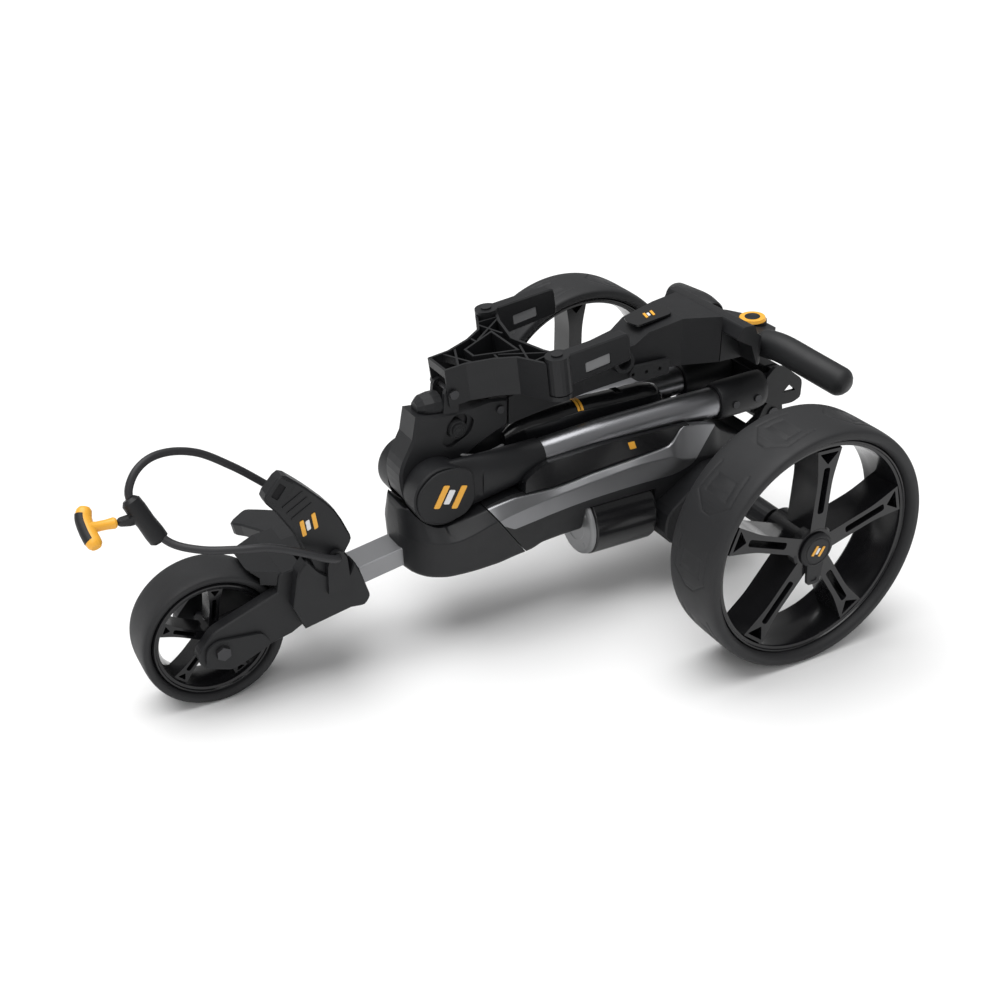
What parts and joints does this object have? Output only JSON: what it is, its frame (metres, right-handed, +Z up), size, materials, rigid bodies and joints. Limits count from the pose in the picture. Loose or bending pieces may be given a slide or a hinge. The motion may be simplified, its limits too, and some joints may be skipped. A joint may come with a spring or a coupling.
{
  "type": "electric golf trolley",
  "caption": "Compact electric golf trolley folded for transport, with drive wheels, a front wheel on a bar, battery tray, folding tube frame, bag brackets and a handle with a speed dial.",
  "frame": {"origin": "on the floor under the middle of the folded trolley's length and width, without the bag strap", "axes": "+X to the rear (drive wheels and handle), -X to the front wheel, -Y the trolley's left side, +Z up"},
  "size_m": [0.9024, 0.575, 0.3689],
  "materials": {
    "matt_black": "satin moulded",
    "gloss_black": "gloss",
    "tyre": "matt rubber",
    "strap_rubber": "matt rubber",
    "gunmetal": "satin metallic grey",
    "steel": "zinc plated",
    "amber": "satin",
    "pad_grey": "soft pad"
  },
  "bodies": {
    "chassis": {"chassis_nose": "matt_black", "chassis_tray": "matt_black", "gearbox": "matt_black", "battery_pack": "gloss_black", "battery_crown": "gloss_black", "side_panel_left": "gunmetal", "side_panel_right": "gunmetal", "motor_can": "gloss_black", "motor_end_cap": "steel", "drive_axle": "matt_black", "frame_lug": "matt_black", "frame_pivot_pin": "steel", "front_bar": "gunmetal", "fork_housing": "matt_black", "front_axle_bolt": "steel", "tracking_adjuster": "matt_black", "lower_arm_pin_left": "steel", "lower_arm_pin_right": "steel", "bag_strap": "strap_rubber", "strap_slider": "matt_black", "strap_pull": "amber"},
    "lower_arm_left": {"lower_arm_left": "matt_black"},
    "lower_arm_right": {"lower_arm_right": "matt_black"},
    "wheel_left": {"tyre_left": "tyre", "rim_left": "gloss_black", "hub_cap_left": "matt_black"},
    "wheel_right": {"tyre_right": "tyre", "rim_right": "gloss_black", "hub_cap_right": "matt_black"},
    "wheel_front": {"tyre_front": "tyre", "rim_front": "gloss_black"},
    "mid_frame": {"frame_tube_left": "gunmetal", "frame_tube_right": "gunmetal", "front_sleeve_left": "matt_black", "front_sleeve_right": "matt_black", "drum_cap_left": "matt_black", "drum_cap_right": "matt_black", "fold_pivot_pin": "steel", "rear_sleeve_left": "matt_black", "rear_sleeve_right": "matt_black", "rear_yoke": "matt_black"},
    "handle": {"joint_member": "matt_black", "stem": "matt_black", "accessory_plate": "matt_black", "badge_pad": "gloss_black", "handle_console": "matt_black", "display_panel": "gloss_black", "dial_base": "matt_black", "grip_left": "strap_rubber", "grip_right": "strap_rubber", "bracket_pin": "steel"},
    "latch": {"latch_knob": "matt_black"},
    "dial": {"dial_knob": "amber"},
    "bag_bracket": {"bag_bracket": "matt_black", "arm_pin_left": "steel", "arm_pin_right": "steel"},
    "bag_arm_left": {"bag_arm_left": "matt_black", "arm_pad_left": "pad_grey"},
    "bag_arm_right": {"bag_arm_right": "matt_black", "arm_pad_right": "pad_grey"}
  },
  "joints": [
    {"name": "wheel_left_spin", "type": "hinge", "parent": "chassis", "child": "wheel_left", "pos_m": [0.2702, -0.2465, 0.15], "axis": [0, 1, 0], "continuous": true},
    {"name": "wheel_right_spin", "type": "hinge", "parent": "chassis", "child": "wheel_right", "pos_m": [0.2702, 0.2465, 0.15], "axis": [0, 1, 0], "continuous": true},
    {"name": "wheel_front_spin", "type": "hinge", "parent": "chassis", "child": "wheel_front", "pos_m": [-0.3513, 0, 0.0813], "axis": [0, 1, 0], "continuous": true},
    {"name": "frame_fold", "type": "hinge", "parent": "chassis", "child": "mid_frame", "pos_m": [0.3952, 0, 0.192], "axis": [0, 1, 0], "range_deg": [0, 70]},
    {"name": "handle_fold", "type": "hinge", "parent": "mid_frame", "child": "handle", "pos_m": [-0.0798, 0, 0.2003], "axis": [0, 1, 0], "range_deg": [-112, 0]},
    {"name": "bag_bracket_tilt", "type": "hinge", "parent": "handle", "child": "bag_bracket", "pos_m": [-0.0518, 0, 0.3095], "axis": [0, 1, 0], "range_deg": [-70, 0]},
    {"name": "bag_arm_left_swing", "type": "hinge", "parent": "bag_bracket", "child": "bag_arm_left", "pos_m": [0.0488, -0.0814, 0.33341], "axis": [-0.1288, 0, 0.9917], "range_deg": [-45, 0]},
    {"name": "bag_arm_right_swing", "type": "hinge", "parent": "bag_bracket", "child": "bag_arm_right", "pos_m": [0.0488, 0.0814, 0.33341], "axis": [-0.1288, 0, 0.9917], "range_deg": [0, 45]},
    {"name": "lower_arm_left_swing", "type": "hinge", "parent": "chassis", "child": "lower_arm_left", "pos_m": [-0.2278, -0.04, 0.132], "axis": [0.9837, 0, 0.18], "range_deg": [-15, 0]},
    {"name": "lower_arm_right_swing", "type": "hinge", "parent": "chassis", "child": "lower_arm_right", "pos_m": [-0.2278, 0.04, 0.132], "axis": [0.9837, 0, 0.18], "range_deg": [0, 98]},
    {"name": "latch_slide", "type": "slide", "parent": "handle", "child": "latch", "axis": [0.585, 0, 0.811], "range_m": [0, 0.007]},
    {"name": "dial_turn", "type": "hinge", "parent": "handle", "child": "dial", "pos_m": [0.3822, 0, 0.303], "axis": [-0.0698, 0, 0.9976], "range_deg": [-135, 135]}
  ],
  "couplings": [
    {"joint": "handle_fold", "follows": "frame_fold", "ratio": -1.6}
  ]
}
